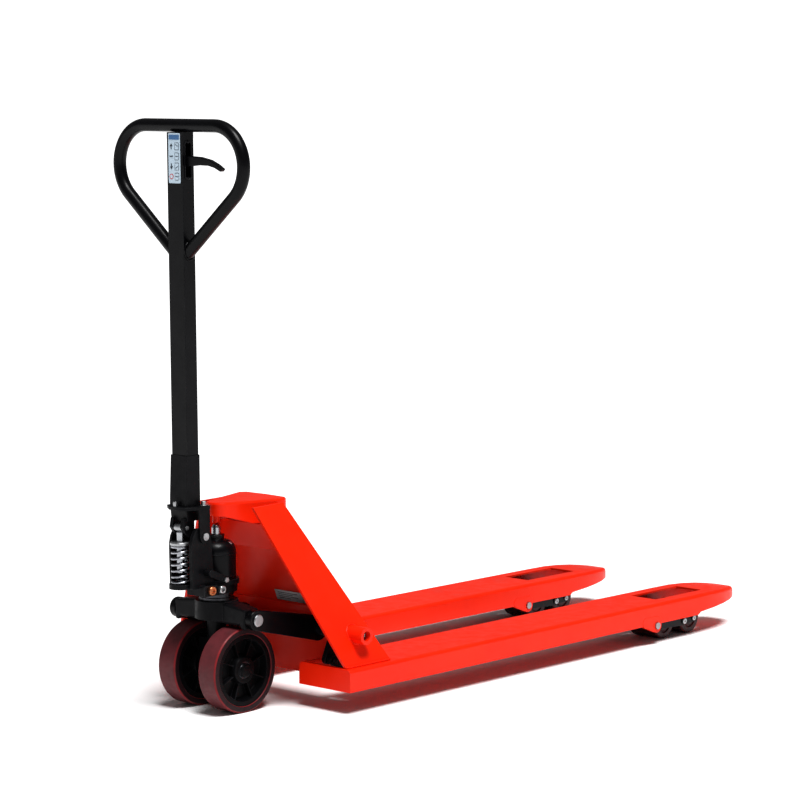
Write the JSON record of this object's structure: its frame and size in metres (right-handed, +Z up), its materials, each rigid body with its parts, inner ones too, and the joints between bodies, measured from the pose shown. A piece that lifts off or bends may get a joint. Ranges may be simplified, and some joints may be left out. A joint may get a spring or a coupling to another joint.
{
  "type": "pallet jack",
  "caption": "Hand pallet jack with long tapered forks, load rollers, a steered hydraulic pump unit on wheels, and an upright tiller with a loop grip.",
  "frame": {"origin": "middle of the bounding box at floor height, under the wheels", "axes": "+X from the tiller towards the fork tips, +Y to the left fork, +Z up"},
  "size_m": [1.6506, 0.549, 1.2355],
  "materials": {
    "red_paint": "gloss",
    "black_enamel": "satin",
    "cast_black": "satin",
    "dark_steel": "satin",
    "zinc": "satin",
    "bright_steel": "polished",
    "spring_steel": "satin",
    "polyurethane": "satin",
    "roller_tread": "satin",
    "copper": "satin",
    "label_film": "satin",
    "data_plate": "satin"
  },
  "bodies": {
    "base": {"thrust_plate": "cast_black", "thrust_bearing": "dark_steel"},
    "chassis": {"fork_left": "red_paint", "fork_right": "red_paint", "ear_pin_left": "zinc", "ear_pin_right": "zinc", "brace_left": "red_paint", "brace_right": "red_paint", "head_cap": "red_paint", "ball_seat": "red_paint", "head_front_plate": "red_paint", "load_plate_upper": "red_paint", "load_plate_lower": "red_paint", "rocker_shaft": "bright_steel", "data_plate": "data_plate"},
    "rocker": {"torsion_tube": "cast_black", "rocker_arm_left": "black_enamel", "rocker_arm_right": "black_enamel", "rocker_pin_left": "zinc", "rocker_pin_right": "zinc", "crank_left": "cast_black", "crank_right": "cast_black"},
    "rod_left": {"push_rod_left": "cast_black"},
    "frame_left": {"wheel_frame_left": "black_enamel"},
    "bogie_left": {"bogie_left": "black_enamel"},
    "roller_left_inner": {"load_roller_left_inner": "roller_tread"},
    "roller_left_outer": {"load_roller_left_outer": "roller_tread"},
    "rod_right": {"push_rod_right": "cast_black"},
    "frame_right": {"wheel_frame_right": "black_enamel"},
    "bogie_right": {"bogie_right": "black_enamel"},
    "roller_right_inner": {"load_roller_right_inner": "roller_tread"},
    "roller_right_outer": {"load_roller_right_outer": "roller_tread"},
    "steer": {"axle_yoke": "cast_black", "steer_axle": "black_enamel", "pump_body": "cast_black", "drain_plug": "copper", "relief_valve_cap": "zinc", "reservoir": "black_enamel", "handle_pin": "zinc", "pump_spring": "spring_steel"},
    "wheel_left": {"steer_tyre_left": "polyurethane", "steer_hub_left": "black_enamel", "wheel_bearing_left": "bright_steel"},
    "wheel_right": {"steer_tyre_right": "polyurethane", "steer_hub_right": "black_enamel", "wheel_bearing_right": "bright_steel"},
    "ram": {"lift_ram": "bright_steel"},
    "plunger": {"plunger": "bright_steel", "spring_cap": "zinc"},
    "release": {"release_arm": "cast_black", "release_screw": "zinc"},
    "handle": {"handle_base": "cast_black", "pressure_roller": "zinc", "handle_post": "black_enamel", "handle_label": "label_film", "handle_loop": "black_enamel", "socket_bolt": "zinc"},
    "lever": {"control_lever": "black_enamel", "lever_pin": "zinc"}
  },
  "joints": [
    {"name": "lift", "type": "slide", "parent": "base", "child": "chassis", "axis": [0, 0, 1], "range_m": [0, 0.105]},
    {"name": "rocker_hinge", "type": "hinge", "parent": "chassis", "child": "rocker", "pos_m": [-0.51475, 0, 0.1585], "axis": [0, -1, 0], "range_deg": [0, 33.38]},
    {"name": "rod_hinge_left", "type": "hinge", "parent": "rocker", "child": "rod_left", "pos_m": [-0.55171, 0.196, 0.10571], "axis": [0, -1, 0], "range_deg": [-32.24, 0]},
    {"name": "frame_hinge_left", "type": "hinge", "parent": "chassis", "child": "frame_left", "pos_m": [0.46625, 0.196, 0.045], "axis": [0, 1, 0], "range_deg": [0, 64.01]},
    {"name": "bogie_hinge_left", "type": "hinge", "parent": "frame_left", "child": "bogie_left", "pos_m": [0.58825, 0.196, 0.0382], "axis": [0, 1, 0], "range_deg": [-64.01, 0]},
    {"name": "roller_spin_left_inner", "type": "hinge", "parent": "bogie_left", "child": "roller_left_inner", "pos_m": [0.53925, 0.196, 0.0382], "axis": [0, 1, 0], "continuous": true},
    {"name": "roller_spin_left_outer", "type": "hinge", "parent": "bogie_left", "child": "roller_left_outer", "pos_m": [0.63725, 0.196, 0.0382], "axis": [0, 1, 0], "continuous": true},
    {"name": "rod_hinge_right", "type": "hinge", "parent": "rocker", "child": "rod_right", "pos_m": [-0.55171, -0.196, 0.10571], "axis": [0, -1, 0], "range_deg": [-32.24, 0]},
    {"name": "frame_hinge_right", "type": "hinge", "parent": "chassis", "child": "frame_right", "pos_m": [0.46625, -0.196, 0.045], "axis": [0, 1, 0], "range_deg": [0, 64.01]},
    {"name": "bogie_hinge_right", "type": "hinge", "parent": "frame_right", "child": "bogie_right", "pos_m": [0.58825, -0.196, 0.0382], "axis": [0, 1, 0], "range_deg": [-64.01, 0]},
    {"name": "roller_spin_right_inner", "type": "hinge", "parent": "bogie_right", "child": "roller_right_inner", "pos_m": [0.53925, -0.196, 0.0382], "axis": [0, 1, 0], "continuous": true},
    {"name": "roller_spin_right_outer", "type": "hinge", "parent": "bogie_right", "child": "roller_right_outer", "pos_m": [0.63725, -0.196, 0.0382], "axis": [0, 1, 0], "continuous": true},
    {"name": "steering", "type": "hinge", "parent": "base", "child": "steer", "pos_m": [-0.69875, 0, 0.25], "axis": [0, 0, 1], "range_deg": [-77, 77]},
    {"name": "wheel_spin_left", "type": "hinge", "parent": "steer", "child": "wheel_left", "pos_m": [-0.69875, 0.0602, 0.09], "axis": [0, 1, 0], "continuous": true},
    {"name": "wheel_spin_right", "type": "hinge", "parent": "steer", "child": "wheel_right", "pos_m": [-0.69875, -0.0602, 0.09], "axis": [0, 1, 0], "continuous": true},
    {"name": "ram_stroke", "type": "slide", "parent": "steer", "child": "ram", "axis": [0, 0, 1], "range_m": [0, 0.105]},
    {"name": "handle_tilt", "type": "hinge", "parent": "steer", "child": "handle", "pos_m": [-0.77175, 0, 0.376], "axis": [0, -1, 0], "range_deg": [0, 60], "stiffness_Nm_per_rad": 40, "springref_deg": -14.32},
    {"name": "pump_stroke", "type": "slide", "parent": "steer", "child": "plunger", "axis": [0, 0, -1], "range_m": [0, 0.0364], "deforming": ["pump_spring"]},
    {"name": "control_lever", "type": "hinge", "parent": "handle", "child": "lever", "pos_m": [-0.78355, 0, 1.148], "axis": [-1, 0, 0], "range_deg": [0, 12], "stiffness_Nm_per_rad": 1.5, "springref_deg": -8.59},
    {"name": "release", "type": "hinge", "parent": "steer", "child": "release", "pos_m": [-0.76675, 0, 0.3], "axis": [0, -1, 0], "range_deg": [0, 9]}
  ],
  "couplings": [
    {"joint": "rocker_hinge", "follows": "lift", "rad_per_m": 5.3828},
    {"joint": "rod_hinge_left", "follows": "lift", "rad_per_m": -5.1923},
    {"joint": "frame_hinge_left", "follows": "lift", "rad_per_m": 10.474},
    {"joint": "bogie_hinge_left", "follows": "lift", "rad_per_m": -10.474},
    {"joint": "rod_hinge_right", "follows": "lift", "rad_per_m": -5.1923},
    {"joint": "frame_hinge_right", "follows": "lift", "rad_per_m": 10.474},
    {"joint": "bogie_hinge_right", "follows": "lift", "rad_per_m": -10.474},
    {"joint": "ram_stroke", "follows": "lift", "ratio": 1},
    {"joint": "pump_stroke", "follows": "handle_tilt", "m_per_rad": 0.0346},
    {"joint": "release", "follows": "control_lever", "ratio": 0.7}
  ]
}
